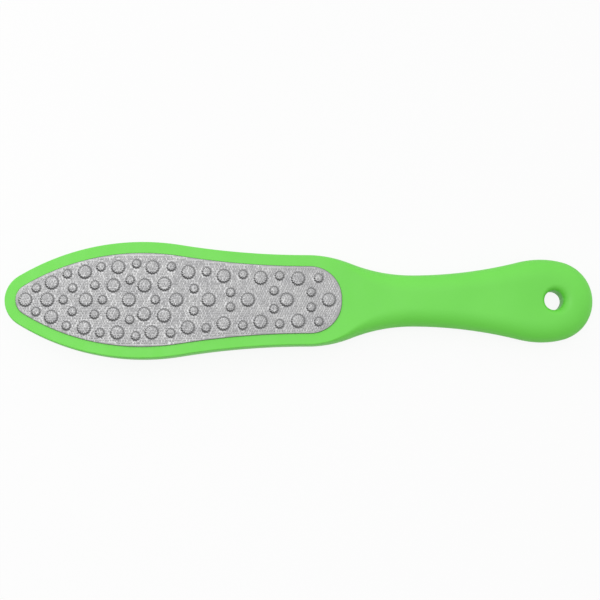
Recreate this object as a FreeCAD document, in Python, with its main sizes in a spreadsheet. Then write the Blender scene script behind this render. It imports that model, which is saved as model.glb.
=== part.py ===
# Two-sided foot file: a hollow two-shell handle with a rasp plate bonded into each face of its head.
# Millimetres. The file lies along X with the tip of its head at -X, its coarse face up (+Z) and its
# fine plate on Z = 0. The origin is under the middle of its length.
import FreeCAD, Part
import math
import os
import Sketcher

doc = FreeCAD.newDocument("foot_file")


# Driving sizes

SIZES = [
    # outline of the handle seen from above, as runs along its length
    ("head_run", 60.5),        # tip of the head to its widest place
    ("waist_run", 72.8),       # widest place to the end of the head
    ("shoulder_run", 46.0),    # end of the head to the narrowest place of the neck
    ("grip_run", 57.1),        # neck to the widest place of the butt
    ("butt_run", 22.6),        # widest place of the butt to its end
    ("head_width", 52.0),
    ("waist_width", 40.3),
    ("neck_width", 22.7),
    ("butt_width", 36.8),
    ("nose_radius", 12.6),     # rounding of the tip
    ("end_ease", 0.65),        # half width of the butt less the radius of its end
    # S-curves between those widths: the share that the first arc has of the two radii
    ("flank_share", 0.228),
    ("shoulder_share", 0.415),
    ("grip_share", 0.822),
    # section of the handle: how far its rounded edge reaches in from the outline
    ("body_thickness", 12.0),
    ("head_rounding", 1.7),
    ("neck_rounding", 8.0),
    ("butt_rounding", 9.0),
    ("seam_width", 0.3),       # groove that the two shells leave where they meet
    ("seam_depth", 0.2),
    ("side_wall", 2.0),
    ("roof", 2.0),
    # stiffening and locating features inside the shells
    ("rib_thickness", 1.6),
    ("post_diameter", 6.4),
    ("pin_diameter", 3.0),
    ("pin_length", 2.5),
    ("pin_clearance", 0.1),
    # hang hole, about the centre of the butt's round end
    ("hole_diameter", 8.5),
    ("flare_share", 0.58),     # share of the flat round the hole that its flare takes
    ("boss_wall", 2.0),
    # plates and the films that bond them into their seats
    ("rim", 5.3),              # band of plastic round the seat
    ("end_flat", 0.8),         # half of the straight across the inner end of the seat
    ("recess_depth", 0.3),
    ("plate_clearance", 0.15),
    ("sheet_thickness", 0.5),
    ("film_thickness", 0.3),
    ("film_margin", 1.4),
    # bumps of the coarse plate; the shares are of the plate's greatest half width
    ("bump_height", 0.9),
    ("bump_flank", 0.5),       # run of the sloping side
    ("large_bump_share", 0.289),
    ("small_bump_share", 0.194),
    ("punch_skin", 0.55),      # steel left over the punch mark behind a bump
]

sheet = doc.addObject("Spreadsheet::Sheet", "sizes")
for row, (alias, value) in enumerate(SIZES, start=1):
    sheet.set(f"A{row}", alias)
    sheet.set(f"B{row}", str(value))
    sheet.setAlias(f"B{row}", alias)
doc.recompute()


def number(expression):
    """Value of an expression on the sheet."""
    return float(sheet.evalExpression(expression))


# Places along the length and heights that several pieces share, as expressions on the sheet
WAIST_AT = "(sizes.head_run + sizes.waist_run)"
NECK_AT = f"({WAIST_AT} + sizes.shoulder_run)"
BUTT_AT = f"({NECK_AT} + sizes.grip_run)"
LENGTH = f"({BUTT_AT} + sizes.butt_run)"
END_RADIUS = "(sizes.butt_width / 2 - sizes.end_ease)"
END_CENTRE = f"({LENGTH} - {END_RADIUS})"
HALF = "(sizes.body_thickness / 2)"
LAND_HEIGHT = "(sizes.seam_width / 2)"
CEILING = f"({HALF} - sizes.roof)"
RIB_TOP = f"({CEILING} + (sizes.roof - sizes.recess_depth) / 2)"
PLATE_PROUD = "(sizes.film_thickness + sizes.sheet_thickness - sizes.recess_depth)"
MIDDLE = f"({HALF} + {PLATE_PROUD})"


# Outlines: closed chains of tangent arcs, the same on both sides of the long axis

class Arc:
    """One arc of an outline, between its left and right end. A hollow arc has its centre outside."""

    def __init__(self, centre, radius, left, right, hollow=False):
        self.centre = FreeCAD.Vector(*centre)
        self.radius = radius
        self.left = FreeCAD.Vector(*left)
        self.right = FreeCAD.Vector(*right)
        self.hollow = hollow

    def far_side(self):
        """The same arc across the long axis."""
        centre, left, right = (FreeCAD.Vector(p.x, -p.y) for p in (self.centre, self.left, self.right))
        return Arc(centre, self.radius, left, right, not self.hollow)

    def ends(self):
        """Numbers of the left and right end, counted the way an arc turns."""
        return (1, 2) if self.hollow else (2, 1)

    def geometry(self):
        first, last = (self.left, self.right) if self.hollow else (self.right, self.left)
        start, stop = [math.atan2(p.y - self.centre.y, p.x - self.centre.x) for p in (first, last)]
        if stop <= start:
            stop += 2 * math.pi
        circle = Part.Circle(self.centre, FreeCAD.Vector(0, 0, 1), self.radius)
        return Part.ArcOfCircle(circle, start, stop)

    def half_width(self, x):
        rise = math.sqrt(self.radius**2 - (x - self.centre.x) ** 2)
        return self.centre.y + (-rise if self.hollow else rise)


class Flat:
    """Straight piece of an outline across the long axis."""

    def __init__(self, x, half):
        self.left = FreeCAD.Vector(x, half)
        self.right = FreeCAD.Vector(x, -half)

    def ends(self):
        return (1, 2)

    def geometry(self):
        return Part.LineSegment(self.left, self.right)


def round_end(tip, side_x, half, radius):
    """Arc about the tip on the axis, and the arc from there to the widest place beside it."""
    way = math.copysign(1.0, side_x - tip)
    run = abs(side_x - tip)
    side_radius = (run**2 + half**2 - 2 * run * radius) / (2 * (half - radius))
    tip_centre = FreeCAD.Vector(tip + way * radius, 0)
    side_centre = FreeCAD.Vector(side_x, half - side_radius)
    joint = tip_centre + (tip_centre - side_centre).normalize() * radius
    across = FreeCAD.Vector(joint.x, -joint.y)
    if way > 0:
        nose = Arc(tip_centre, radius, across, joint)
        return [nose, Arc(side_centre, side_radius, joint, (side_x, half))]
    cap = Arc(tip_centre, radius, joint, across)
    return [Arc(side_centre, side_radius, (side_x, half), joint), cap]


def first_radius(share, x1, half1, x2, half2):
    """Expression for the radius of the first arc of an S-curve."""
    drop = f"(({half1}) - ({half2}))"
    return f"{share} * ((({x2}) - ({x1}))^2 + {drop}^2) / (2 * abs({drop}))"


def ogee(x1, half1, x2, half2, radius):
    """The two opposite arcs between two places where the outline runs along the axis."""
    fall = math.copysign(1.0, half1 - half2)
    drop = abs(half1 - half2)
    both = ((x2 - x1) ** 2 + drop**2) / (2 * drop)
    first = FreeCAD.Vector(x1, half1 - fall * radius)
    second = FreeCAD.Vector(x2, half2 + fall * (both - radius))
    joint = first + (second - first) * (radius / both)
    return [
        Arc(first, radius, (x1, half1), joint, hollow=fall < 0),
        Arc(second, both - radius, joint, (x2, half2), hollow=fall > 0),
    ]


class SeatOutline:
    """Outline of the head with a flat inner end, set in from the handle's, drawn with its sizes bound."""

    waist_at = f"({WAIST_AT} + sizes.end_flat)"

    def __init__(self, inset, rounding_share="0"):
        self.head_in = f"({inset} + sizes.head_rounding * {rounding_share})"
        self.sizes = {
            "nose_radius": f"sizes.nose_radius - {self.head_in}",
            "nose_x": "sizes.nose_radius",
            "head_x": "sizes.head_run",
            "head_half": f"sizes.head_width / 2 - {self.head_in}",
            "waist_x": self.waist_at,
            "waist_half": f"sizes.waist_width / 2 - {self.head_in}",
        }
        self.add_curve("flank", "head", "waist")
        self.add_sizes()
        self.value = {name: number(text) for name, text in self.sizes.items()}
        v = self.value
        self.start = v["nose_x"] - v["nose_radius"]
        self.arcs = round_end(self.start, v["head_x"], v["head_half"], v["nose_radius"])
        self.arcs += self.curve("flank", "head", "waist")
        # arcs that begin where the outline runs along the axis, and the arcs with a radius of their own
        self.level = {2: "head", 4: "waist"}
        self.radii = {0: "nose_radius", 2: "flank_radius"}
        self.centres = {0: "nose_x"}
        self.close()
        self.stop = max(arc.right.x for arc in self.arcs)

    def add_curve(self, curve, first, second):
        places = [self.sizes[f"{place}_{of}"] for place in (first, second) for of in ("x", "half")]
        self.sizes[f"{curve}_radius"] = first_radius(f"sizes.{curve}_share", *places)

    def curve(self, curve, first, second):
        places = [self.value[f"{place}_{of}"] for place in (first, second) for of in ("x", "half")]
        return ogee(*places, self.value[f"{curve}_radius"])

    def add_sizes(self):
        self.sizes["end_flat"] = "sizes.end_flat"

    def close(self):
        x, half, flat = (self.value[name] for name in ("waist_x", "waist_half", "end_flat"))
        corner = half - flat
        self.arcs.append(Arc((x, flat), corner, (x, half), (x + corner, flat)))
        self.arcs.append(Flat(x + corner, flat))

    def end_rules(self, last):
        return [("Symmetric", last, 1, last, 2, -1)]

    def bind_end(self, sketch, last):
        self.bind(sketch, "DistanceY", "end_flat", -1, 1, last, 1)

    def half_width(self, x):
        arc = next((a for a in self.arcs[:-1] if x <= a.right.x), self.arcs[-1])
        return arc.half_width(x)

    def sketch(self, body, name, height="0"):
        sketch = new_sketch(body, name, height)
        last = len(self.arcs) - 1
        far = [arc.far_side() for arc in self.arcs[1:last]]
        for arc in self.arcs + far:
            sketch.addGeometry(arc.geometry(), False)
        left = [arc.ends()[0] for arc in self.arcs + far]
        right = [arc.ends()[1] for arc in self.arcs + far]
        rules = [("Tangent", i, right[i], i + 1, left[i + 1]) for i in range(last)]
        rules += [("PointOnObject", 0, 3, -1), ("Vertical", 0, 1, 0, 2)] + self.end_rules(last)
        for arc in self.level:
            rules.append(("Vertical", arc - 1, right[arc - 1], arc - 1, 3))
        for i in range(1, last):
            j = last + i
            rules += [("Symmetric", i, left[i], j, left[j], -1), ("Symmetric", i, right[i], j, right[j], -1)]
            rules.append(("Equal", i, j))
        sketch.addConstraint([Sketcher.Constraint(*rule) for rule in rules])
        for arc, place_name in self.level.items():
            self.bind(sketch, "DistanceX", f"{place_name}_x", -1, 1, arc, left[arc])
            self.bind(sketch, "DistanceY", f"{place_name}_half", -1, 1, arc, left[arc])
        for arc, radius_name in self.radii.items():
            self.bind(sketch, "Radius", radius_name, arc)
        for arc, centre_name in self.centres.items():
            self.bind(sketch, "DistanceX", centre_name, -1, 1, arc, 3)
        self.bind_end(sketch, last)
        return sketch

    def bind(self, sketch, kind, name, *places):
        index = sketch.addConstraint(Sketcher.Constraint(kind, *places, self.value[name]))
        sketch.renameConstraint(index, name)
        sketch.setExpression(f"Constraints.{name}", self.sizes[name])


class HandleOutline(SeatOutline):
    """Outline of the whole handle, set in by a wall and by a share of the edge's rounding."""

    waist_at = WAIST_AT

    def __init__(self, inset, rounding_share):
        self.neck_in = f"({inset} + sizes.neck_rounding * {rounding_share})"
        self.butt_in = f"({inset} + sizes.butt_rounding * {rounding_share})"
        super().__init__(inset, rounding_share)

    def add_sizes(self):
        self.sizes.update({
            "neck_x": NECK_AT,
            "neck_half": f"sizes.neck_width / 2 - {self.neck_in}",
            "butt_x": BUTT_AT,
            "butt_half": f"sizes.butt_width / 2 - {self.butt_in}",
            "end_radius": f"{END_RADIUS} - {self.butt_in}",
            "end_x": END_CENTRE,
        })
        self.add_curve("shoulder", "waist", "neck")
        self.add_curve("grip", "neck", "butt")

    def close(self):
        v = self.value
        self.arcs += self.curve("shoulder", "waist", "neck") + self.curve("grip", "neck", "butt")
        self.arcs += round_end(v["end_x"] + v["end_radius"], v["butt_x"], v["butt_half"], v["end_radius"])
        self.level.update({6: "neck", 8: "butt"})
        self.radii.update({4: "shoulder_radius", 6: "grip_radius", 9: "end_radius"})

    def end_rules(self, last):
        return [("PointOnObject", last, 3, -1), ("Vertical", last, 1, last, 2)]

    def bind_end(self, sketch, last):
        self.bind(sketch, "DistanceX", "end_x", -1, 1, last, 3)


# Features that several pieces use

def origin_plane(body, role):
    return next(f for f in body.Origin.OriginFeatures if f.Role == role)


def new_sketch(body, name, height="0"):
    """Sketch across the body's Z axis at a height given by an expression."""
    sketch = body.newObject("Sketcher::SketchObject", name)
    sketch.AttachmentSupport = [(origin_plane(body, "XY_Plane"), "")]
    sketch.MapMode = "FlatFace"
    sketch.setExpression("AttachmentOffset.Base.z", height)
    return sketch


def circles(body, name, stations, diameter):
    """Sketch of equal circles on the long axis."""
    sketch = new_sketch(body, name)
    for i, station in enumerate(stations):
        centre = FreeCAD.Vector(number(station), 0, 0)
        circle = Part.Circle(centre, FreeCAD.Vector(0, 0, 1), number(diameter) / 2)
        sketch.addGeometry(circle, False)
        sketch.addConstraint(Sketcher.Constraint("PointOnObject", i, 3, -1))
        place = sketch.addConstraint(Sketcher.Constraint("DistanceX", -1, 1, i, 3, centre.x))
        sketch.setExpression(f"Constraints[{place}]", station)
        width = sketch.addConstraint(Sketcher.Constraint("Diameter", i, number(diameter)))
        sketch.setExpression(f"Constraints[{width}]", diameter)
    return sketch


def bar(body, name, start, stop, width):
    """Sketch of a rectangle about the long axis."""
    sketch = new_sketch(body, name)
    x1, x2, half = number(start), number(stop), number(width) / 2
    corners = [FreeCAD.Vector(x, y, 0) for x, y in ((x1, -half), (x2, -half), (x2, half), (x1, half))]
    for i in range(4):
        sketch.addGeometry(Part.LineSegment(corners[i], corners[(i + 1) % 4]), False)
    rules = [("Coincident", i, 2, (i + 1) % 4, 1) for i in range(4)]
    rules += [("Horizontal", 0), ("Horizontal", 2), ("Vertical", 1)]
    rules.append(("Symmetric", 0, 1, 2, 2, -1))
    sketch.addConstraint([Sketcher.Constraint(*rule) for rule in rules])
    for kind, places, text in (
        ("DistanceX", (-1, 1, 0, 1), start),
        ("DistanceX", (0, 1, 0, 2), f"{stop} - {start}"),
        ("DistanceY", (1, 1, 1, 2), width),
    ):
        index = sketch.addConstraint(Sketcher.Constraint(kind, *places, number(text)))
        sketch.setExpression(f"Constraints[{index}]", text)
    return sketch


def extrude(body, kind, name, sketch, length, reverse=False):
    """Pad or Pocket of a sketch by a length given by an expression."""
    feature = body.newObject(f"PartDesign::{kind}", name)
    feature.Profile = sketch
    feature.setExpression("Length", length)
    feature.Reversed = reverse
    return feature


def place(piece, height, face_down=False):
    """Puts a piece on the long axis at a height, coarse side up or turned over."""
    turn = FreeCAD.Rotation(FreeCAD.Vector(1, 0, 0), 180 if face_down else 0)
    piece.Placement = FreeCAD.Placement(FreeCAD.Vector(), turn)
    piece.setExpression("Placement.Base.x", f"-{LENGTH} / 2")
    piece.setExpression("Placement.Base.z", height)


# Handle shells: each is half of the handle, hollow, open at the middle plane

EDGE_STEPS = 2
POST_STATIONS = ["sizes.head_run", WAIST_AT, f"({NECK_AT} + sizes.grip_run / 2)"]
CROSS_RIBS = 3


def handle_shell(name):
    """A half handle from the middle plane (Z = 0) up, with its seat, ribs, posts and hang hole."""
    body = doc.addObject("PartDesign::Body", name)
    body.Label = name

    # land that meets the other shell, set back by the seam's groove
    land_outline = HandleOutline("sizes.seam_depth", "0").sketch(body, "land_outline")
    extrude(body, "Pad", "land", land_outline, LAND_HEIGHT)

    # outside: outlines that draw in along a quarter of an ellipse from the land to the face
    outside = []
    for step in range(EDGE_STEPS + 1):
        angle = f"{90 * step / EDGE_STEPS} deg"
        outline = HandleOutline("0", f"(1 - cos({angle}))")
        height = f"{LAND_HEIGHT} + ({HALF} - {LAND_HEIGHT}) * sin({angle})"
        outside.append(outline.sketch(body, f"edge_{step}", height))
    skin = body.newObject("PartDesign::AdditiveLoft", "skin")
    skin.Profile = outside[0]
    skin.Sections = outside[1:]

    # inside: a drafted cavity that keeps the wall at the middle plane and at the ceiling
    ceiling_share = f"(1 - sqrt(1 - ({CEILING} / {HALF})^2))"
    cavity = body.newObject("PartDesign::SubtractiveLoft", "cavity")
    cavity.Profile = HandleOutline("sizes.side_wall", "0").sketch(body, "cavity_mouth")
    cavity.Sections = [HandleOutline("sizes.side_wall", ceiling_share).sketch(body, "cavity_roof", CEILING)]
    cavity.Ruled = True

    # seat of the plate
    seat_outline = SeatOutline("sizes.rim").sketch(body, "seat_outline", HALF)
    extrude(body, "Pocket", "seat", seat_outline, "sizes.recess_depth")

    # spine, cross ribs under the plate, posts and the boss round the hang hole
    boss_width = "sizes.hole_diameter + 2 * sizes.boss_wall"
    spine_stop = f"({END_CENTRE} - sizes.hole_diameter / 2 - sizes.boss_wall / 2)"
    spine_outline = bar(body, "spine_outline", "sizes.nose_radius", spine_stop, "sizes.rib_thickness")
    extrude(body, "Pad", "spine", spine_outline, RIB_TOP)
    rib_start = "(sizes.head_run - sizes.rib_thickness / 2)"
    rib_width = "sizes.waist_width - 2 * sizes.rim"
    rib_outline = bar(body, "rib_outline", rib_start, f"({rib_start} + sizes.rib_thickness)", rib_width)
    rib = extrude(body, "Pad", "cross_rib", rib_outline, RIB_TOP)
    ribs = body.newObject("PartDesign::LinearPattern", "cross_ribs")
    ribs.Originals = [rib]
    ribs.Direction = (origin_plane(body, "X_Axis"), [""])
    ribs.setExpression("Length", "sizes.waist_run")
    ribs.Occurrences = CROSS_RIBS
    body.Tip = ribs
    doc.recompute()
    extrude(body, "Pad", "posts", circles(body, "post_circles", POST_STATIONS, "sizes.post_diameter"), RIB_TOP)
    extrude(body, "Pad", "hole_boss", circles(body, "boss_circle", [END_CENTRE], boss_width), RIB_TOP)

    # hang hole, flared towards the face
    hole_circle = circles(body, "hole_circle", [END_CENTRE], "sizes.hole_diameter")
    hole = extrude(body, "Pocket", "hang_hole", hole_circle, "sizes.body_thickness", reverse=True)
    doc.recompute()
    flare = body.newObject("PartDesign::Fillet", "hole_flare")
    flare.Base = (hole, [hole_rim(hole)])
    flat = f"({END_RADIUS} - sizes.butt_rounding - sizes.hole_diameter / 2)"
    flare.setExpression("Radius", f"sizes.flare_share * {flat}")
    return body


def hole_rim(feature):
    """Name of the edge where the hang hole leaves the face of the handle."""
    radius, height = number("sizes.hole_diameter / 2"), number(HALF)
    for i, edge in enumerate(feature.Shape.Edges, start=1):
        round_edge = isinstance(edge.Curve, Part.Circle) and abs(edge.Curve.Radius - radius) < 1e-4
        if round_edge and abs(edge.BoundBox.ZMin - height) < 1e-4:
            return f"Edge{i}"
    raise RuntimeError("the hang hole has no rim on the face")


# The front shell carries the locating pins
front_shell = handle_shell("front_shell")
pin_circles = circles(front_shell, "pin_circles", POST_STATIONS, "sizes.pin_diameter")
extrude(front_shell, "Pad", "pins", pin_circles, "sizes.pin_length", reverse=True)
place(front_shell, MIDDLE)

# The rear shell carries their sockets
rear_shell = handle_shell("rear_shell")
SOCKET_DIAMETER = "sizes.pin_diameter + 2 * sizes.pin_clearance"
SOCKET_DEPTH = "sizes.pin_length + sizes.pin_clearance"
socket_circles = circles(rear_shell, "socket_circles", POST_STATIONS, SOCKET_DIAMETER)
extrude(rear_shell, "Pocket", "sockets", socket_circles, SOCKET_DEPTH, reverse=True)
place(rear_shell, MIDDLE, face_down=True)


# Plates and films: flat blanks cut to the outline of the seat

def blank(name, inset, thickness):
    """Flat piece with the outline of the head set in from the handle's outline."""
    body = doc.addObject("PartDesign::Body", name)
    body.Label = name
    extrude(body, "Pad", "blank", SeatOutline(inset).sketch(body, "blank_outline"), thickness)
    return body


PLATE_INSET = "(sizes.rim + sizes.plate_clearance)"
PLATE_HALF = f"(sizes.head_width / 2 - {PLATE_INSET})"
FILM_INSET = "(sizes.rim + sizes.film_margin)"
SEAT_HEIGHT = f"({HALF} - sizes.recess_depth)"
PLATE_HEIGHT = f"({SEAT_HEIGHT} + sizes.film_thickness)"

front_film = blank("front_adhesive_film", FILM_INSET, "sizes.film_thickness")
place(front_film, f"{MIDDLE} + {SEAT_HEIGHT}")
rear_film = blank("rear_adhesive_film", FILM_INSET, "sizes.film_thickness")
place(rear_film, f"{MIDDLE} - {SEAT_HEIGHT}", face_down=True)
rear_plate = blank("rear_file_plate", PLATE_INSET, "sizes.sheet_thickness")
place(rear_plate, f"{MIDDLE} - {PLATE_HEIGHT}", face_down=True)
coarse_blank = blank("coarse_blank", PLATE_INSET, "sizes.sheet_thickness")


# Bumps of the coarse plate: an outer row along the edge, an inner row and a middle row

# share of the plate's length, share of its half width there, size
OUTER_ROW = [
    (0.064, 0.556, "small"), (0.111, 0.603, "large"), (0.158, 0.754, "small"), (0.212, 0.703, "large"),
    (0.261, 0.763, "small"), (0.314, 0.716, "large"), (0.370, 0.772, "small"), (0.419, 0.698, "large"),
    (0.477, 0.735, "small"), (0.529, 0.649, "large"), (0.585, 0.702, "small"), (0.638, 0.624, "large"),
    (0.697, 0.702, "small"), (0.751, 0.626, "large"), (0.809, 0.706, "small"), (0.866, 0.630, "large"),
    (0.929, 0.673, "small"),
]
INNER_ROW = [
    (0.175, 0.322, "small"), (0.243, 0.348, "small"), (0.300, 0.316, "large"), (0.351, 0.424, "small"),
    (0.395, 0.305, "large"), (0.456, 0.345, "large"), (0.547, 0.266, "small"), (0.659, 0.196, "small"),
    (0.792, 0.265, "small"), (0.906, 0.225, "small"),
]
MIDDLE_ROW = [
    (0.031, 0.0, "large"), (0.098, 0.0, "large"), (0.147, 0.0, "small"), (0.216, 0.0, "large"),
    (0.267, 0.0, "small"), (0.348, 0.0, "large"), (0.429, 0.0, "small"), (0.493, 0.0, "large"),
    (0.592, 0.0, "large"), (0.712, 0.0, "large"), (0.831, 0.0, "large"), (0.960, 0.0, "large"),
]


def bump_places(plate):
    """Centre and size of every bump."""
    length = plate.stop - plate.start
    places = []
    for along, across, kind in OUTER_ROW + INNER_ROW + MIDDLE_ROW:
        x = plate.start + length * along
        y = plate.half_width(x) * across
        places += [(x, side * y, kind) for side in ((1, -1) if across else (1,))]
    return places


def bump_solids(plate):
    """Raised studs above the blank and the conical marks that the punches leave behind them."""
    thickness = number("sizes.sheet_thickness")
    height = number("sizes.bump_height")
    flank = number("sizes.bump_flank")
    depth = thickness + height - number("sizes.punch_skin")
    studs, marks = [], []
    for x, y, kind in bump_places(plate):
        radius = number(f"sizes.{kind}_bump_share * {PLATE_HALF} / 2")
        top = FreeCAD.Vector(x, y, thickness)
        studs.append(Part.makeCone(radius, radius - flank, height, top))
        marks.append(Part.makeCone(radius - flank / 2, 0, depth, FreeCAD.Vector(x, y, 0)))
    return Part.makeCompound(studs), Part.makeCompound(marks)


bump_studs = doc.addObject("Part::Feature", "bump_studs")
punch_marks = doc.addObject("Part::Feature", "punch_marks")
bump_studs.Shape, punch_marks.Shape = bump_solids(SeatOutline(PLATE_INSET))
bumped_blank = doc.addObject("Part::Fuse", "bumped_blank")
bumped_blank.Base = coarse_blank
bumped_blank.Tool = bump_studs
front_plate = doc.addObject("Part::Cut", "front_file_plate")
front_plate.Base = bumped_blank
front_plate.Tool = punch_marks
front_plate.Label = "front_file_plate"
place(front_plate, f"{MIDDLE} + {PLATE_HEIGHT}")

doc.recompute()


# Check and write

PIECES = [front_shell, rear_shell, front_plate, rear_plate, front_film, rear_film]
for item in doc.Objects:
    if "Invalid" in item.State or "Error" in item.State:
        raise RuntimeError(f"{item.Name} did not build: {item.State}")
for piece in PIECES:
    if piece.Shape.isNull() or not piece.Shape.isValid() or len(piece.Shape.Solids) != 1:
        raise RuntimeError(f"{piece.Label} is not one valid solid")

os.makedirs("parts", exist_ok=True)
for piece in PIECES:
    piece.Shape.exportStep(f"parts/{piece.Label}.step")
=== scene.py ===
import math
import random

import bmesh
import bpy
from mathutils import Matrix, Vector
from mathutils.geometry import delaunay_2d_cdt
from mathutils.kdtree import KDTree


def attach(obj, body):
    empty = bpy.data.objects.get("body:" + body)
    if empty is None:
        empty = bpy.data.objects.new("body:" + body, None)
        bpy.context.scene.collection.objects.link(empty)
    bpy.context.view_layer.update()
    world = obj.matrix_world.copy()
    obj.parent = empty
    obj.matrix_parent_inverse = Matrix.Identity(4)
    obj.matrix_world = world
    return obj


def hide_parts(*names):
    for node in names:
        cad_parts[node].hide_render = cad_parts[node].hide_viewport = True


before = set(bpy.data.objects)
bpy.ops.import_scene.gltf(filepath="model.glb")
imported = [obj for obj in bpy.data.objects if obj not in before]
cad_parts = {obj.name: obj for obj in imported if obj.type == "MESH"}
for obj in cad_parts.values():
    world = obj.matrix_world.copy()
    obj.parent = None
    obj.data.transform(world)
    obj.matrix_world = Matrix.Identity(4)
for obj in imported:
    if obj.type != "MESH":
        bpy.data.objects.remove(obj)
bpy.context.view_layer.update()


# Handle: two hollow halves moulded in hard plastic and welded together round their edges, with a
# seat for a plate in each face and a flared hang hole through the butt. The outside is sprayed with
# a soft-touch paint: matte, with a faint orange peel and a slightly uneven tint.

paint = bpy.data.materials.new("soft_touch_green")
paint.use_nodes = True
nodes, links = paint.node_tree.nodes, paint.node_tree.links
paint_shader = nodes["Principled BSDF"]
paint_shader.inputs["Specular IOR Level"].default_value = 0.60
place = nodes.new("ShaderNodeTexCoord")

paint_cloud = nodes.new("ShaderNodeTexNoise")  # uneven coat, a few centimetres across
paint_cloud.inputs["Scale"].default_value = 38
paint_cloud.inputs["Detail"].default_value = 3
paint_tint = nodes.new("ShaderNodeValToRGB")
paint_tint.color_ramp.elements[0].position = 0.32
paint_tint.color_ramp.elements[0].color = (0.132, 0.640, 0.054, 1)
paint_tint.color_ramp.elements[1].position = 0.68
paint_tint.color_ramp.elements[1].color = (0.146, 0.670, 0.063, 1)
links.new(place.outputs["Object"], paint_cloud.inputs["Vector"])
links.new(paint_cloud.outputs["Fac"], paint_tint.inputs["Fac"])
links.new(paint_tint.outputs["Color"], paint_shader.inputs["Base Color"])

paint_matte = nodes.new("ShaderNodeTexNoise")  # patches rubbed a little smoother by the hand
paint_matte.inputs["Scale"].default_value = 150
paint_matte.inputs["Detail"].default_value = 4
matte_range = nodes.new("ShaderNodeMapRange")
matte_range.inputs["From Min"].default_value = 0.3
matte_range.inputs["From Max"].default_value = 0.7
matte_range.inputs["To Min"].default_value = 0.46
matte_range.inputs["To Max"].default_value = 0.56
links.new(place.outputs["Object"], paint_matte.inputs["Vector"])
links.new(paint_matte.outputs["Fac"], matte_range.inputs["Value"])
links.new(matte_range.outputs["Result"], paint_shader.inputs["Roughness"])

orange_peel = nodes.new("ShaderNodeTexNoise")  # ripples about 0.6 mm apart
orange_peel.inputs["Scale"].default_value = 1600
orange_peel.inputs["Detail"].default_value = 2
peel_bump = nodes.new("ShaderNodeBump")
peel_bump.inputs["Strength"].default_value = 0.25
peel_bump.inputs["Distance"].default_value = 0.00004
links.new(place.outputs["Object"], orange_peel.inputs["Vector"])
links.new(orange_peel.outputs["Fac"], peel_bump.inputs["Height"])
links.new(peel_bump.outputs["Normal"], paint_shader.inputs["Normal"])

# Sizes of the handle, in millimetres. On each side its outline is a chain of arcs from the tip of
# the head to the end of the butt.
nose_at, nose_radius = Vector((-116.9, 0)), 12.6  # round tip
hole_at, hole_radius = Vector((111.75, 0)), 4.25
end_radius = 17.75  # of the round end, which has the hole at its centre
# places where the outline runs along the handle, and half the width there
head_x, head_half = -69.0, 26.0
waist_x, waist_half = 3.8, 20.15
neck_x, neck_half = 49.8, 11.35
butt_x, butt_half = 106.9, 18.4
# share that the first arc has of the two radii from one of these places to the next
flank_share, shoulder_share, grip_share = 0.228, 0.415, 0.822

seam_height = 6.5  # of the seam above the table
half_thickness = 6.0
seam_half, seam_depth = 0.15, 0.2  # groove along the seam, half on each side
head_rounding, neck_rounding, butt_rounding = 0.8, 8.0, 9.0  # how far the edge draws in
face_band = 0.3  # flat strip between the rounded edge and the rest of the face
seat_inset, seat_depth = 5.3, 0.3
seat_turn = 4.6  # where the seat's sides turn into its blunt end
seat_end_half = 0.8  # half of the straight piece of that end
flare_run, flare_depth = 2.9, 2.7
flare_lean = 1.2  # how much further the flare runs out towards the end of the handle

# Points of the loops: along each arc, up the rounded edge, round the hole and down its flare
handle_points = (12, 20, 10, 16, 12, 12, 14, 8, 4, 24)
seat_points = (12, 24, 12, 24, 20)
edge_steps, hole_sides, flare_steps = 14, 64, 8


def round_end(centre, radius, widest):
    """Centre of the arc from a round end to the widest place beside it, and where they meet."""
    run = abs(widest.x - centre.x) + radius
    side_radius = (run**2 + widest.y**2 - 2 * run * radius) / (2 * (widest.y - radius))
    side = Vector((widest.x, widest.y - side_radius))
    return side, centre + (centre - side).normalized() * radius


def s_curve(first, last, share):
    """The two arcs between two places where the outline runs along the handle."""
    drop = first.y - last.y
    both = ((last.x - first.x) ** 2 + drop**2) / (2 * drop)
    start = Vector((first.x, first.y - share * both))
    stop = Vector((last.x, last.y + (1 - share) * both))
    return [(start, start + (stop - start) * share), (stop, last)]


def trace(start, arcs, counts):
    """Closed loop along a chain of arcs, each with its centre and its end, and back on the other
    side: its places, each with the direction that points outwards."""
    near = []
    for (centre, stop), count in zip(arcs, counts):
        first = start - centre
        turn = first.angle_signed(stop - centre)
        for i in range(count):
            angle = math.atan2(first.y, first.x) - turn * i / count
            out = Vector((math.cos(angle), math.sin(angle)))
            near.append((centre + first.length * out, out if turn > 0 else -out))
        start = stop
    near.append((start, Vector((1, 0))))
    on_axis = 1e-4
    off_axis = [(p, out) for p, out in reversed(near) if p.y > on_axis]
    return near + [(Vector((p.x, -p.y)), Vector((out.x, -out.y))) for p, out in off_axis]


def handle_loop(inset, drawn):
    """Outline of the handle, set in all round and drawn in by a share of its edge's rounding."""
    head_in = inset + drawn * head_rounding
    neck_in = inset + drawn * neck_rounding
    butt_in = inset + drawn * butt_rounding
    head = Vector((head_x, head_half - head_in))
    waist = Vector((waist_x, waist_half - head_in))
    neck = Vector((neck_x, neck_half - neck_in))
    butt = Vector((butt_x, butt_half - butt_in))
    nose_side, nose_joint = round_end(nose_at, nose_radius - head_in, head)
    end_side, end_joint = round_end(hole_at, end_radius - butt_in, butt)
    start = nose_at - Vector((nose_radius - head_in, 0))
    stop = hole_at + Vector((end_radius - butt_in, 0))
    arcs = [(nose_at, nose_joint), (nose_side, head)]
    arcs += s_curve(head, waist, flank_share)
    arcs += s_curve(waist, neck, shoulder_share)
    arcs += s_curve(neck, butt, grip_share)
    arcs += [(end_side, end_joint), (hole_at, stop)]
    return [p for p, out in trace(start, arcs, handle_points)]


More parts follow.
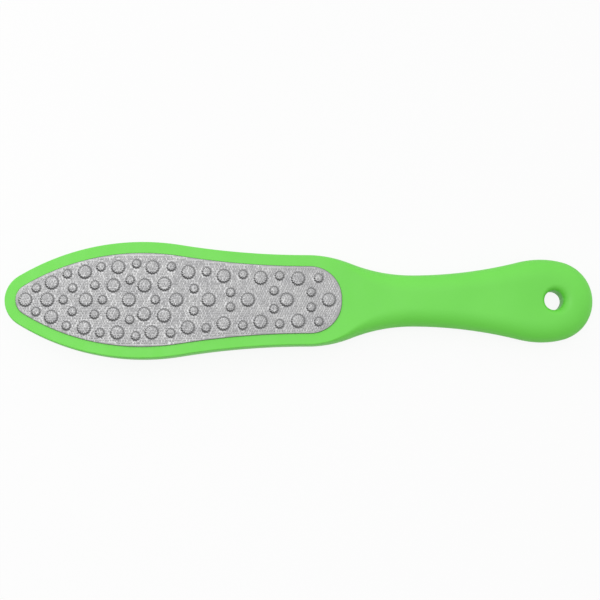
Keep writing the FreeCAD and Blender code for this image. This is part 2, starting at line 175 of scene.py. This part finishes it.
def seat_arcs(inset):
    """Start and arcs of the seat's outline: the head's, set in, with a blunt end at the waist."""
    head = Vector((head_x, head_half - inset))
    waist = Vector((seat_turn, waist_half - inset))
    corner = Vector((seat_turn, seat_end_half))
    nose_side, nose_joint = round_end(nose_at, nose_radius - inset, head)
    start = nose_at - Vector((nose_radius - inset, 0))
    stop = corner + Vector((waist.y - corner.y, 0))
    arcs = [(nose_at, nose_joint), (nose_side, head)]
    arcs += s_curve(head, waist, flank_share)
    arcs += [(corner, stop)]
    return start, arcs


def handle_half(name, faces_up):
    """Closed half of the handle with its rounded edge, seat and flared hole, from the seam out."""
    points, faces = [], []

    def add_loop(loop, height):
        points.extend((p.x, p.y, height) for p in loop)
        return list(range(len(points) - len(loop), len(points)))

    def hole_loop(flared, height):
        """Loop round the hole, opened by a share of its flare."""
        loop = []
        for i in range(hole_sides):
            angle = i * math.tau / hole_sides
            out = Vector((math.cos(angle), -math.sin(angle)))
            reach = hole_radius + flared * (flare_run + flare_lean * out.x)
            loop.append(hole_at + out * reach)
        return add_loop(loop, height)

    def join(low, high):
        for i in range(len(low)):
            j = (i + 1) % len(low)
            faces.append((low[j], low[i], high[i], high[j]))

    def fill(outline, *openings):
        """Flat face inside a loop, without the openings that are in it."""
        loops = [outline, *openings]
        ids = [i for loop in loops for i in loop]
        flat = [Vector(points[i][:2]) for i in ids]
        at = {i: k for k, i in enumerate(ids)}
        ties = [(at[i], at[j]) for loop in loops for i, j in zip(loop, loop[1:] + loop[:1])]
        inside_only, nearness = 1, 1e-6
        _, _, triangles, sources, _, _ = delaunay_2d_cdt(flat, ties, [], inside_only, nearness)
        for triangle in triangles:
            face = [ids[sources[k][0]] for k in triangle]
            if not any(set(opening).issuperset(face) for opening in openings):
                faces.append(face)

    land = handle_loop(seam_depth, 0)
    rings = [add_loop(land, 0), add_loop(land, seam_half)]
    for step in range(edge_steps + 1):
        angle = math.pi / 2 * step / edge_steps
        height = seam_half + (half_thickness - seam_half) * math.sin(angle)
        rings.append(add_loop(handle_loop(0, 1 - math.cos(angle)), height))
    rings.append(add_loop(handle_loop(face_band, 1), half_thickness))
    for low, high in zip(rings, rings[1:]):
        join(low, high)

    seat = [p for p, out in trace(*seat_arcs(seat_inset), seat_points)]
    seat_rim = add_loop(seat, half_thickness)
    seat_floor = add_loop(seat, half_thickness - seat_depth)
    join(seat_floor, seat_rim)
    faces.append(seat_floor)

    flare = []
    for step in range(flare_steps + 1):
        angle = math.pi / 2 * step / flare_steps
        height = half_thickness - flare_depth * (1 - math.cos(angle))
        flare.append(hole_loop(1 - math.sin(angle), height))
    flare.append(hole_loop(0, 0))
    for low, high in zip(flare[1:], flare):
        join(low, high)

    fill(rings[-1], seat_rim, flare[0])
    fill(rings[0], flare[-1])

    rise = 1 if faces_up else -1
    verts = [(x / 1000, y / 1000, (seam_height + rise * z) / 1000) for x, y, z in points]
    mesh = bpy.data.meshes.new(name)
    mesh.from_pydata(verts, [], faces)
    shape = bmesh.new()
    shape.from_mesh(mesh)
    bmesh.ops.recalc_face_normals(shape, faces=shape.faces)
    shape.to_mesh(mesh)
    shape.free()
    mesh.shade_smooth()
    mesh.set_sharp_from_angle(angle=math.radians(35))
    mesh.materials.append(paint)
    half = bpy.data.objects.new(name, mesh)
    bpy.context.collection.objects.link(half)
    return half


for name, shell, faces_up in (
    ("front_half", "front_shell", True),
    ("rear_half", "rear_shell", False),
):
    half = handle_half(name, faces_up)
    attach(half, "root")
    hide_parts(shell)


# Adhesive films: die-cut double-sided tape on the floor of each seat, which holds the plates.
# A milky carrier with a faint fibre in it; it shows only as a line under the edge of a plate.

film = bpy.data.materials.new("adhesive_film")
film.use_nodes = True
nodes, links = film.node_tree.nodes, film.node_tree.links
film_shader = nodes["Principled BSDF"]
film_shader.inputs["Roughness"].default_value = 0.35
place = nodes.new("ShaderNodeTexCoord")
fibre_run = nodes.new("ShaderNodeMapping")
fibre_run.inputs["Scale"].default_value = (150, 900, 900)
fibre = nodes.new("ShaderNodeTexNoise")
fibre.inputs["Scale"].default_value = 1
fibre.inputs["Detail"].default_value = 4
film_tint = nodes.new("ShaderNodeValToRGB")
film_tint.color_ramp.elements[0].position = 0.35
film_tint.color_ramp.elements[0].color = (0.60, 0.57, 0.47, 1)
film_tint.color_ramp.elements[1].position = 0.65
film_tint.color_ramp.elements[1].color = (0.74, 0.72, 0.63, 1)
fibre_bump = nodes.new("ShaderNodeBump")
fibre_bump.inputs["Strength"].default_value = 0.3
fibre_bump.inputs["Distance"].default_value = 0.00002
links.new(place.outputs["Object"], fibre_run.inputs["Vector"])
links.new(fibre_run.outputs["Vector"], fibre.inputs["Vector"])
links.new(fibre.outputs["Fac"], film_tint.inputs["Fac"])
links.new(film_tint.outputs["Color"], film_shader.inputs["Base Color"])
links.new(fibre.outputs["Fac"], fibre_bump.inputs["Height"])
links.new(fibre_bump.outputs["Normal"], film_shader.inputs["Normal"])

for name in ("front_adhesive_film", "rear_adhesive_film"):
    film_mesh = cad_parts[name].data
    film_mesh.materials.clear()
    film_mesh.materials.append(film)


# Coarse plate: stainless sheet, etched all over into rows of tiny pointed teeth, then pressed from
# behind into large and small bumps and blanked to the outline of its seat. It is bonded on the
# upper face. Sizes are in millimetres here too.

plate_room = 0.15  # between the plate and the edge of its seat
plate_inset = seat_inset + plate_room
plate_half = head_half - plate_inset  # half of its greatest width
plate_tip, plate_arcs = seat_arcs(plate_inset)
plate_start, plate_stop = plate_tip.x, plate_arcs[-1][1].x

plate_points = (10, 78, 24, 82, 31)  # along each arc, about 0.7 mm apart
plate_edge = trace(plate_tip, plate_arcs, plate_points)
end_middle = (Vector((plate_stop, 0)), Vector((1, 0)))  # on the straight piece of the blunt end
plate_edge.insert(len(plate_edge) // 2 + 1, end_middle)


def plate_half_width(x):
    """Half the width of a plate at a place along its length."""
    for centre, stop in plate_arcs:
        if x <= stop.x:
            radius = (stop - centre).length
            way = -1 if stop.y < centre.y else 1
            return centre.y + way * math.sqrt(max(radius**2 - (x - centre.x) ** 2, 0))
    return 0


# Bumps: an outer row that follows the edge, an inner row on each side and one on the middle line.
# Each has its share of the plate's length, its share of the half width there, and its radius.
large, small = 2.97, 2.0
outer_row = [
    (0.064, 0.556, small), (0.111, 0.603, large), (0.158, 0.754, small), (0.212, 0.703, large),
    (0.261, 0.763, small), (0.314, 0.716, large), (0.370, 0.772, small), (0.419, 0.698, large),
    (0.477, 0.735, small), (0.529, 0.649, large), (0.585, 0.702, small), (0.638, 0.624, large),
    (0.697, 0.702, small), (0.751, 0.626, large), (0.809, 0.706, small), (0.866, 0.630, large),
    (0.929, 0.673, small),
]
inner_row = [
    (0.175, 0.322, small), (0.243, 0.348, small), (0.300, 0.316, large), (0.351, 0.424, small),
    (0.395, 0.305, large), (0.456, 0.345, large), (0.547, 0.266, small), (0.659, 0.196, small),
    (0.792, 0.265, small), (0.906, 0.225, small),
]
middle_row = [
    (0.031, 0.0, large), (0.098, 0.0, large), (0.147, 0.0, small), (0.216, 0.0, large),
    (0.267, 0.0, small), (0.348, 0.0, large), (0.429, 0.0, small), (0.493, 0.0, large),
    (0.592, 0.0, large), (0.712, 0.0, large), (0.831, 0.0, large), (0.960, 0.0, large),
]
bumps = []
for along, across, radius in outer_row + inner_row + middle_row:
    x = plate_start + along * (plate_stop - plate_start)
    y = across * plate_half_width(x)
    bumps += [(x, way * y, radius) for way in ((1, -1) if across else (1,))]

# Section of a bump: how far in from its foot, how high, and how dark it is painted there, a painted
# shade at the foot and on the flank
bump_section = [
    (-0.40, 0.0, 0.2), (-0.16, 0.05, 0.2), (0.0, 0.14, 0.5), (0.16, 0.32, 0.5),
    (0.32, 0.47, 0.2), (0.52, 0.57, 0.0), (0.80, 0.62, 0.0),
]
bump_foot, bump_shoulder = bump_section[0][0], bump_section[-1][0]
bump_room = 0.1  # flat floor kept round the foot
crown_height = 0.70
crown_pitch = 1.15  # of the teeth round a bump's shoulder
crown_wave = (1, 0, -1, 0)  # out and in again round each of them
crown_reach, crown_rise = 0.19, 0.22  # how far they stand out, and their rise per mm inwards

tooth_base = 0.40  # half the width of a tooth as a share of the pitch; the rest is flat floor
base_corner = 1.42  # reach of a square base's corner over half its width, rounded up
tooth_shift = 0.12  # most that a tooth is off its place in the row, as a share of the pitch
tooth_least = 0.7  # lowest tooth as a share of the full height

edge_room = 0.3  # between the outline and the teeth
edge_height = 0.05  # of the plain edge above the floor between the teeth
edge_round, edge_round_middle = 0.16, 0.05  # rounding of the edge, and how far in its middle is
back_bevel = 0.06
# painted shade on the plate's rounded edge, wall and back, where it stands proud of its seat
wall_painted_shade = 0.3


def toothed_sheet(name, bed, back, pitch, tooth, presses):
    """Closed sheet with a rounded edge, etched teeth and pressed bumps. Above the table, the floor
    between its teeth is at the height bed and its other face at the height back."""
    chance = random.Random(11)  # one seed, so that every run is the same
    faces_up = bed > back
    rise = 1 if faces_up else -1
    rim = KDTree(len(plate_edge))
    for i, (p, out) in enumerate(plate_edge):
        rim.insert((p.x, p.y, 0), i)
    rim.balance()
    centres = KDTree(max(len(presses), 1))
    for i, (x, y, radius) in enumerate(presses):
        centres.insert((x, y, 0), i)
    centres.balance()

    def pressed(x, y):
        """How far a place is inside the foot of the nearest bump, and how high the sheet is."""
        nearest = centres.find_n((x, y, 0), 2)  # a large bump may reach further than a nearer one
        found = [(presses[i][2] - distance, presses[i][2]) for _, i, distance in nearest]
        depth, radius = max(found, default=(-math.inf, 0.0))
        for (start, low, _), (stop, high, _) in zip(bump_section, bump_section[1:]):
            if depth < stop:
                return depth, low + (high - low) * max(depth - start, 0.0) / (stop - start)
        to_rim = (radius - depth) / (radius - stop)
        return depth, high + (crown_height - high) * (1 - to_rim**2)

    flat, heights, painted_darks, tips = [], [], [], set()

    def add(x, y, height, painted_dark=0.0):
        flat.append(Vector((x, y)))
        heights.append(height)
        painted_darks.append(painted_dark)
        return len(flat) - 1

    # loop at the top of the rounded edge
    lip = []
    for p, out in plate_edge:
        lip.append(add(p.x - out.x * edge_round, p.y - out.y * edge_round, edge_height))
    ties = [(lip[i], lip[(i + 1) % len(lip)]) for i in range(len(lip))]

    # teeth in rows: a tip over a square base
    base = tooth_base * pitch
    rows = math.ceil(plate_half / pitch)
    for i in range(math.floor(plate_start / pitch) - 1, math.ceil(plate_stop / pitch)):
        for j in range(-rows, rows):
            x = (i + 0.5 + 0.5 * (j % 2) + chance.uniform(-tooth_shift, tooth_shift)) * pitch
            y = (j + 0.5 + chance.uniform(-tooth_shift, tooth_shift)) * pitch
            height = tooth * chance.uniform(tooth_least, 1.0)
            near_edge = rim.find((x, y, 0))[2] < edge_room + base_corner * base
            on_plate = plate_start < x < plate_stop and abs(y) <= plate_half_width(x)
            if near_edge or not on_plate:
                continue
            depth, floor = pressed(x, y)
            if bump_foot - bump_room < depth < bump_shoulder:
                continue
            tips.add(add(x, y, floor + height))
            for across, along in ((-1, -1), (1, -1), (1, 1), (-1, 1)):
                corner_x, corner_y = x + across * base, y + along * base
                add(corner_x, corner_y, pressed(corner_x, corner_y)[1])

    # rings of each bump, drawn out into a crown of teeth at its shoulder
    for x, y, radius in presses:
        count = len(crown_wave) * round(2 * math.pi * radius / crown_pitch)
        first = chance.uniform(0, 2 * math.pi)
        for depth, height, painted_dark in bump_section:
            for k in range(count):
                angle = first + 2 * math.pi * k / count
                wave = crown_wave[k % len(crown_wave)]
                reach = radius - depth + crown_reach * wave
                peak = height + max(0.0, depth * crown_rise * wave)
                add(x + reach * math.cos(angle), y + reach * math.sin(angle), peak, painted_dark)

    whole_hull, nearness = 0, 1e-6
    points, _, faces, sources, _, _ = delaunay_2d_cdt(flat, ties, [], whole_hull, nearness)
    verts = [(p.x, p.y, bed + rise * heights[old[0]]) for p, old in zip(points, sources)]
    shades = [painted_darks[old[0]] for old in sources]
    new_of = {i: new for new, old in enumerate(sources) for i in old}
    loop = [new_of[i] for i in lip]
    outside = set(loop)
    sharp = {new_of[i] for i in tips}
    polygons, smooth = [], []
    for face in faces:
        if not outside.issuperset(face):
            polygons.append(tuple(face) if faces_up else tuple(reversed(face)))
            smooth.append(sharp.isdisjoint(face))

    # rounded edge, wall and back: how far in from the outline, how far below the lip, and how dark
    # it is painted; the wall and back get a painted shade
    top = bed + rise * edge_height
    wall = abs(top - back)
    below = []
    for inset, down, painted_dark in (
        (edge_round_middle, edge_round_middle, 0.0),
        (0.0, edge_round, wall_painted_shade),
        (0.0, wall - back_bevel, wall_painted_shade),
        (back_bevel, wall, wall_painted_shade),
    ):
        below.append([len(verts) + i for i in range(len(plate_edge))])
        for p, out in plate_edge:
            verts.append((p.x - out.x * inset, p.y - out.y * inset, top - rise * down))
            shades.append(painted_dark)
    for upper, lower in zip([loop] + below, below):
        for i in range(len(plate_edge)):
            k = (i + 1) % len(plate_edge)
            quad = (upper[i], upper[k], lower[k], lower[i])
            polygons.append(quad if faces_up else tuple(reversed(quad)))
    polygons.append(tuple(below[-1]) if faces_up else tuple(reversed(below[-1])))
    smooth += [True] * (len(polygons) - len(smooth) - 1) + [False]

    mesh = bpy.data.meshes.new(name)
    mesh.from_pydata([Vector(v) / 1000 for v in verts], [], polygons)
    # painted shade of each point, which the steel's material darkens by
    shade = mesh.attributes.new("painted_foot_shade", "FLOAT", "POINT")
    shade.data.foreach_set("value", shades)
    mesh.polygons.foreach_set("use_smooth", smooth)
    sheet = bpy.data.objects.new(name, mesh)
    bpy.context.collection.objects.link(sheet)
    return sheet


coarse_plate = toothed_sheet(
    "coarse_plate", bed=12.95, back=12.5, pitch=1.08, tooth=0.13, presses=bumps
)
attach(coarse_plate, "root")
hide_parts("front_file_plate")

etched = bpy.data.materials.new("etched_steel")
etched.use_nodes = True
nodes, links = etched.node_tree.nodes, etched.node_tree.links
etched_shader = nodes["Principled BSDF"]
etched_shader.inputs["Metallic"].default_value = 1.0
place = nodes.new("ShaderNodeTexCoord")

bath_cloud = nodes.new("ShaderNodeTexNoise")  # uneven etching
bath_cloud.inputs["Scale"].default_value = 260
bath_cloud.inputs["Detail"].default_value = 5
steel_tint = nodes.new("ShaderNodeValToRGB")
steel_tint.color_ramp.elements[0].position = 0.3
steel_tint.color_ramp.elements[0].color = (0.31, 0.31, 0.315, 1)
steel_tint.color_ramp.elements[1].position = 0.7
steel_tint.color_ramp.elements[1].color = (0.38, 0.38, 0.38, 1)
painted_foot_shade = nodes.new("ShaderNodeAttribute")  # painted shade: darker at the feet and flanks of the bumps and on the plate's wall
painted_foot_shade.attribute_name = "painted_foot_shade"
painted_shade_mix = nodes.new("ShaderNodeMix")
painted_shade_mix.data_type = "RGBA"
# colour of the painted shade
painted_shade_mix.inputs["B"].default_value = (0.18, 0.18, 0.185, 1)
links.new(place.outputs["Object"], bath_cloud.inputs["Vector"])
links.new(bath_cloud.outputs["Fac"], steel_tint.inputs["Fac"])
links.new(painted_foot_shade.outputs["Fac"], painted_shade_mix.inputs["Factor"])
links.new(steel_tint.outputs["Color"], painted_shade_mix.inputs["A"])
links.new(painted_shade_mix.outputs["Result"], etched_shader.inputs["Base Color"])

etch_grain = nodes.new("ShaderNodeTexNoise")  # grain of the etched metal, about 0.2 mm across
etch_grain.inputs["Scale"].default_value = 5200
etch_grain.inputs["Detail"].default_value = 3
grain_matte = nodes.new("ShaderNodeMapRange")
grain_matte.inputs["From Min"].default_value = 0.3
grain_matte.inputs["From Max"].default_value = 0.7
grain_matte.inputs["To Min"].default_value = 0.37
grain_matte.inputs["To Max"].default_value = 0.45
grain_bump = nodes.new("ShaderNodeBump")
grain_bump.inputs["Strength"].default_value = 0.12
grain_bump.inputs["Distance"].default_value = 0.00002
links.new(place.outputs["Object"], etch_grain.inputs["Vector"])
links.new(etch_grain.outputs["Fac"], grain_matte.inputs["Value"])
links.new(grain_matte.outputs["Result"], etched_shader.inputs["Roughness"])
links.new(etch_grain.outputs["Fac"], grain_bump.inputs["Height"])
links.new(grain_bump.outputs["Normal"], etched_shader.inputs["Normal"])
coarse_plate.data.materials.append(etched)


# Fine plate: the same sheet and outline, etched with smaller teeth and left flat, for smoothing. It
# is bonded on the under face, and the file lies on the tips of its teeth.

fine_tooth = 0.10
fine_plate = toothed_sheet(
    "fine_plate", bed=fine_tooth, back=0.5, pitch=0.62, tooth=fine_tooth, presses=[]
)
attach(fine_plate, "root")
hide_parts("rear_file_plate")
fine_plate.data.materials.append(etched)


# Table: a wide round sheet of white paper that the file lies on. Far off, its edge is turned up, as
# a backdrop for low views. Sizes are in metres from here on.

table_gap = 0.0001  # under the tips of the teeth
table_sides = 96
# radius and height of each ring
table_rings = [(6.0, 0.0), (7.0, 0.06), (8.0, 0.25), (9.0, 0.55), (10.0, 1.0), (11.0, 1.6)]
table_verts, table_faces = [], [tuple(range(table_sides))]
for step, (radius, height) in enumerate(table_rings):
    for k in range(table_sides):
        angle = 2 * math.pi * k / table_sides
        table_verts.append((radius * math.cos(angle), radius * math.sin(angle), height))
        if step:
            new = step * table_sides + k
            near = step * table_sides + (k + 1) % table_sides
            table_faces.append((new - table_sides, new, near, near - table_sides))
table_mesh = bpy.data.meshes.new("table")
table_mesh.from_pydata(table_verts, [], table_faces)
table = bpy.data.objects.new("table", table_mesh)
bpy.context.collection.objects.link(table)
table.location.z = -table_gap

white = bpy.data.materials.new("white_paper")
white.use_nodes = True
nodes, links = white.node_tree.nodes, white.node_tree.links
paper = nodes["Principled BSDF"]
paper.inputs["Base Color"].default_value = (0.75, 0.75, 0.75, 1)
paper.inputs["Roughness"].default_value = 0.9
paper.inputs["Specular IOR Level"].default_value = 0.0
glow = nodes.new("ShaderNodeEmission")  # plain white for the rays that see the paper
glow.inputs["Strength"].default_value = 1.0
rays = nodes.new("ShaderNodeLightPath")
seen = nodes.new("ShaderNodeMath")
seen.operation = "ADD"
seen_through = nodes.new("ShaderNodeMath")
seen_through.operation = "ADD"
seen_through.use_clamp = True
glow_share = nodes.new("ShaderNodeMath")
glow_share.operation = "MULTIPLY"
glow_share.inputs[1].default_value = 0.90  # the rest is lit paper, which takes the shadow
mix = nodes.new("ShaderNodeMixShader")
links.new(rays.outputs["Is Camera Ray"], seen.inputs[0])
links.new(rays.outputs["Is Glossy Ray"], seen.inputs[1])
links.new(seen.outputs[0], seen_through.inputs[0])
links.new(rays.outputs["Is Transmission Ray"], seen_through.inputs[1])
links.new(seen_through.outputs[0], glow_share.inputs[0])
links.new(glow_share.outputs[0], mix.inputs["Fac"])
links.new(paper.outputs[0], mix.inputs[1])
links.new(glow.outputs[0], mix.inputs[2])
links.new(mix.outputs[0], nodes["Material Output"].inputs["Surface"])
table_mesh.materials.append(white)


# Light: a pale room that is brightest overhead, towards the file's upper edge and a little towards
# its butt, with one soft box high over the head and one low beyond its tip.

world = bpy.data.worlds.new("room")
bpy.context.scene.world = world
world.use_nodes = True
nodes, links = world.node_tree.nodes, world.node_tree.links
room = nodes["Background"]
room.inputs["Strength"].default_value = 1.0
direction = nodes.new("ShaderNodeTexCoord")
brightest = nodes.new("ShaderNodeVectorMath")
brightest.operation = "DOT_PRODUCT"
brightest.inputs[1].default_value = Vector((0.28, 0.47, 0.84)).normalized()
span = nodes.new("ShaderNodeMapRange")
span.inputs["From Min"].default_value = -0.15
span.inputs["From Max"].default_value = 1.0
room_tint = nodes.new("ShaderNodeValToRGB")
room_tint.color_ramp.elements[0].position = 0.0
room_tint.color_ramp.elements[0].color = (0.10, 0.10, 0.10, 1)
room_tint.color_ramp.elements[1].position = 1.0
room_tint.color_ramp.elements[1].color = (1.24, 1.24, 1.24, 1)
links.new(direction.outputs["Generated"], brightest.inputs[0])
links.new(brightest.outputs["Value"], span.inputs["Value"])
links.new(span.outputs["Result"], room_tint.inputs["Fac"])
links.new(room_tint.outputs["Color"], room.inputs["Color"])

aim_at = Vector((-0.05, 0, 0))  # middle of the plates
for name, size, energy, at in (
    ("top_box", 0.24, 1.8, (-0.23, 0.09, 1.0)),
    ("tip_box", 0.26, 0.65, (-0.46, 0.20, 0.28)),
):
    lamp = bpy.data.lights.new(name, "AREA")
    lamp.size = size
    lamp.energy = energy
    box = bpy.data.objects.new(name, lamp)
    bpy.context.collection.objects.link(box)
    box.location = at
    box.rotation_euler = (aim_at - box.location).to_track_quat("-Z", "Y").to_euler()


# Camera: straight above the file, leaned a little towards its lower edge.

distance = 0.47
lean = math.radians(5.3)
middle = Vector((0.00023, 0.00045, 0.0065))  # what the picture is centred on
picture_width = 0.2656  # measured at the file
sensor_width = 36
camera = bpy.data.cameras.new("camera")
camera.sensor_width = sensor_width
camera.lens = sensor_width * distance / picture_width
camera.clip_start = 0.01
view = bpy.data.objects.new("camera", camera)
bpy.context.collection.objects.link(view)
view.location = middle + distance * Vector((0, -math.sin(lean), math.cos(lean)))
view.rotation_euler = (lean, 0, 0)
bpy.context.scene.camera = view

bpy.context.scene.view_settings.view_transform = "Standard"
